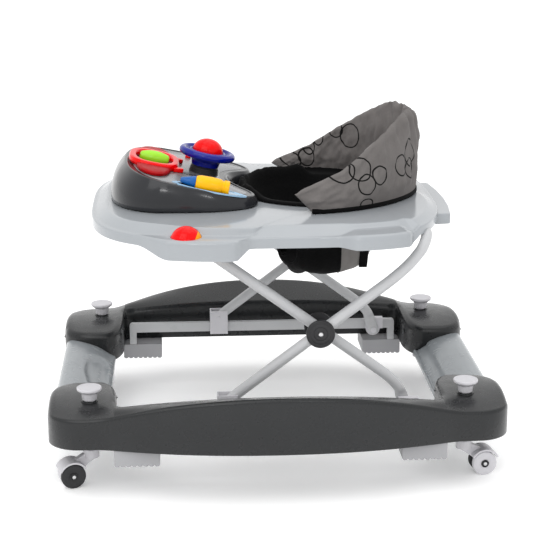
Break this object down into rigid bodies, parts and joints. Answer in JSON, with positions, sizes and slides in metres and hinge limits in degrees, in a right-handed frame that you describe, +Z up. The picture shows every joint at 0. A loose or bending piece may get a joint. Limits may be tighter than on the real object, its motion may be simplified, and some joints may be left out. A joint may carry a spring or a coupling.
{
  "type": "baby walker",
  "caption": "Baby walker with a wheeled base, a folding X frame, a play tray with a toy console and a padded sling seat.",
  "frame": {"origin": "on the floor under the middle of the base", "axes": "+Z up, -X the way the child faces (toys at -X, seat back at +X), -Y the child's left"},
  "size_m": [0.712, 0.6812, 0.5498],
  "materials": {
    "charcoal_plastic": "gloss",
    "grey_plastic": "gloss",
    "white_paint": "semi-gloss paint",
    "pale_plastic": "satin",
    "dark_rubber": "matte",
    "steel": "bright",
    "red_plastic": "gloss",
    "green_plastic": "gloss",
    "blue_plastic": "gloss",
    "yellow_plastic": "gloss",
    "grey_fabric": "woven",
    "black_fabric": "woven"
  },
  "bodies": {
    "base": {"left_rail": "charcoal_plastic", "right_rail": "charcoal_plastic", "front_crossbar": "grey_plastic", "rear_crossbar": "grey_plastic", "left_slide_bar": "white_paint", "right_slide_bar": "white_paint", "front_left_grip_pad": "pale_plastic", "front_right_grip_pad": "pale_plastic", "rear_left_grip_pad": "pale_plastic", "rear_right_grip_pad": "pale_plastic", "left_rear_pivot": "pale_plastic", "right_rear_pivot": "pale_plastic"},
    "front_left_knob": {"front_left_lift_knob": "pale_plastic"},
    "front_left_castor": {"front_left_fork": "pale_plastic", "front_left_axle": "steel"},
    "front_left_dark_roll": {"front_left_dark_wheel": "dark_rubber"},
    "front_left_light_roll": {"front_left_light_wheel": "pale_plastic"},
    "front_right_knob": {"front_right_lift_knob": "pale_plastic"},
    "front_right_castor": {"front_right_fork": "pale_plastic", "front_right_axle": "steel"},
    "front_right_dark_roll": {"front_right_dark_wheel": "dark_rubber"},
    "front_right_light_roll": {"front_right_light_wheel": "pale_plastic"},
    "rear_left_knob": {"rear_left_lift_knob": "pale_plastic"},
    "rear_left_castor": {"rear_left_fork": "pale_plastic", "rear_left_axle": "steel"},
    "rear_left_dark_roll": {"rear_left_dark_wheel": "dark_rubber"},
    "rear_left_light_roll": {"rear_left_light_wheel": "pale_plastic"},
    "rear_right_knob": {"rear_right_lift_knob": "pale_plastic"},
    "rear_right_castor": {"rear_right_fork": "pale_plastic", "rear_right_axle": "steel"},
    "rear_right_dark_roll": {"rear_right_dark_wheel": "dark_rubber"},
    "rear_right_light_roll": {"rear_right_light_wheel": "pale_plastic"},
    "frame_a_body": {"frame_a": "white_paint", "left_inner_hub_cap": "charcoal_plastic", "right_inner_hub_cap": "charcoal_plastic", "left_hub_bolt": "steel", "right_hub_bolt": "steel"},
    "frame_b_body": {"frame_b": "white_paint", "left_outer_hub_cap": "charcoal_plastic", "right_outer_hub_cap": "charcoal_plastic"},
    "left_slide_shoe": {"left_slider": "pale_plastic"},
    "right_slide_shoe": {"right_slider": "pale_plastic"},
    "tray_body": {"tray": "grey_plastic", "left_tray_hinge": "charcoal_plastic", "right_tray_hinge": "charcoal_plastic", "height_rack": "charcoal_plastic", "toy_console": "charcoal_plastic", "roller_cage": "red_plastic", "steering_post": "charcoal_plastic", "seat_wall": "grey_fabric", "seat_sling": "black_fabric"},
    "green_roll": {"green_roller": "green_plastic"},
    "steering_body": {"steering_wheel": "blue_plastic"},
    "dome_body": {"dome_button": "red_plastic"},
    "arm_roll": {"yellow_roller": "yellow_plastic", "blue_cone": "blue_plastic"},
    "small_button_body": {"small_button": "red_plastic"},
    "left_ball": {"left_tray_ball": "red_plastic"},
    "right_ball": {"right_tray_ball": "red_plastic"}
  },
  "joints": [
    {"name": "front_left_lift", "type": "slide", "parent": "base", "child": "front_left_knob", "axis": [0, 0, 1], "range_m": [0, 0.054]},
    {"name": "front_left_swivel", "type": "hinge", "parent": "front_left_knob", "child": "front_left_castor", "pos_m": [-0.2925, -0.2328, 0.05], "axis": [0, 0, 1], "range_deg": [-90, 90]},
    {"name": "front_left_dark_spin", "type": "hinge", "parent": "front_left_castor", "child": "front_left_dark_roll", "pos_m": [-0.32313, -0.24205, 0.0195], "axis": [0.289, -0.9573, 0], "continuous": true},
    {"name": "front_left_light_spin", "type": "hinge", "parent": "front_left_castor", "child": "front_left_light_roll", "pos_m": [-0.32313, -0.24205, 0.0195], "axis": [0.289, -0.9573, 0], "continuous": true},
    {"name": "front_right_lift", "type": "slide", "parent": "base", "child": "front_right_knob", "axis": [0, 0, 1], "range_m": [0, 0.054]},
    {"name": "front_right_swivel", "type": "hinge", "parent": "front_right_knob", "child": "front_right_castor", "pos_m": [-0.2925, 0.2328, 0.05], "axis": [0, 0, 1], "range_deg": [-90, 90]},
    {"name": "front_right_dark_spin", "type": "hinge", "parent": "front_right_castor", "child": "front_right_dark_roll", "pos_m": [-0.32411, 0.23781, 0.0195], "axis": [-0.1564, -0.9877, 0], "continuous": true},
    {"name": "front_right_light_spin", "type": "hinge", "parent": "front_right_castor", "child": "front_right_light_roll", "pos_m": [-0.32411, 0.23781, 0.0195], "axis": [-0.1564, -0.9877, 0], "continuous": true},
    {"name": "rear_left_lift", "type": "slide", "parent": "base", "child": "rear_left_knob", "axis": [0, 0, 1], "range_m": [0, 0.054]},
    {"name": "rear_left_swivel", "type": "hinge", "parent": "rear_left_knob", "child": "rear_left_castor", "pos_m": [0.2925, -0.2328, 0.05], "axis": [0, 0, 1], "range_deg": [-90, 90]},
    {"name": "rear_left_dark_spin", "type": "hinge", "parent": "rear_left_castor", "child": "rear_left_dark_roll", "pos_m": [0.32423, -0.22862, 0.0195], "axis": [-0.1305, 0.9914, 0], "continuous": true},
    {"name": "rear_left_light_spin", "type": "hinge", "parent": "rear_left_castor", "child": "rear_left_light_roll", "pos_m": [0.32423, -0.22862, 0.0195], "axis": [-0.1305, 0.9914, 0], "continuous": true},
    {"name": "rear_right_lift", "type": "slide", "parent": "base", "child": "rear_right_knob", "axis": [0, 0, 1], "range_m": [0, 0.054]},
    {"name": "rear_right_swivel", "type": "hinge", "parent": "rear_right_knob", "child": "rear_right_castor", "pos_m": [0.2925, 0.2328, 0.05], "axis": [0, 0, 1], "range_deg": [-90, 90]},
    {"name": "rear_right_dark_spin", "type": "hinge", "parent": "rear_right_castor", "child": "rear_right_dark_roll", "pos_m": [0.3238, 0.22615, 0.0195], "axis": [0.2079, 0.9781, 0], "continuous": true},
    {"name": "rear_right_light_spin", "type": "hinge", "parent": "rear_right_castor", "child": "rear_right_light_roll", "pos_m": [0.3238, 0.22615, 0.0195], "axis": [0.2079, 0.9781, 0], "continuous": true},
    {"name": "fold", "type": "hinge", "parent": "base", "child": "frame_a_body", "pos_m": [0.2025, 0, 0.1045], "axis": [0, -1, 0], "range_deg": [0, 30]},
    {"name": "scissor", "type": "hinge", "parent": "frame_a_body", "child": "frame_b_body", "pos_m": [0.064, 0, 0.2386], "axis": [0, -1, 0], "range_deg": [-60.2, 0.2]},
    {"name": "tray_level", "type": "hinge", "parent": "frame_b_body", "child": "tray_body", "pos_m": [0.229, 0, 0.388], "axis": [0, -1, 0], "range_deg": [-0.2, 30.2]},
    {"name": "left_shoe", "type": "hinge", "parent": "frame_b_body", "child": "left_slide_shoe", "pos_m": [-0.08, -0.23, 0.1295], "axis": [0, -1, 0], "range_deg": [-0.2, 30.2]},
    {"name": "right_shoe", "type": "hinge", "parent": "frame_b_body", "child": "right_slide_shoe", "pos_m": [-0.08, 0.23, 0.1295], "axis": [0, -1, 0], "range_deg": [-0.2, 30.2]},
    {"name": "green_roller_spin", "type": "hinge", "parent": "tray_body", "child": "green_roll", "pos_m": [-0.18822, 0, 0.46938], "axis": [0.9781, 0, -0.2079], "continuous": true},
    {"name": "steering_turn", "type": "hinge", "parent": "tray_body", "child": "steering_body", "pos_m": [-0.10174, 0, 0.47707], "axis": [0.2079, 0, 0.9781], "continuous": true},
    {"name": "dome_press", "type": "slide", "parent": "steering_body", "child": "dome_body", "axis": [-0.2079, 0, -0.9781], "range_m": [0, 0.003], "stiffness_N_per_m": 300, "springref_m": -0.002},
    {"name": "arm_roller_spin", "type": "hinge", "parent": "tray_body", "child": "arm_roll", "pos_m": [-0.09725, -0.13, 0.45005], "axis": [0.9781, 0, -0.2079], "continuous": true},
    {"name": "small_button_press", "type": "slide", "parent": "tray_body", "child": "small_button_body", "axis": [-0.2079, 0, -0.9781], "range_m": [0, 0.002], "stiffness_N_per_m": 300, "springref_m": -0.002},
    {"name": "left_ball_spin", "type": "hinge", "parent": "tray_body", "child": "left_ball", "pos_m": [-0.14, -0.258, 0.3915], "axis": [1, 0, 0], "continuous": true},
    {"name": "right_ball_spin", "type": "hinge", "parent": "tray_body", "child": "right_ball", "pos_m": [-0.14, 0.258, 0.3915], "axis": [1, 0, 0], "continuous": true}
  ],
  "couplings": [
    {"joint": "scissor", "follows": "fold", "ratio": -2},
    {"joint": "tray_level", "follows": "fold", "ratio": 1},
    {"joint": "left_shoe", "follows": "fold", "ratio": 1},
    {"joint": "right_shoe", "follows": "fold", "ratio": 1}
  ]
}
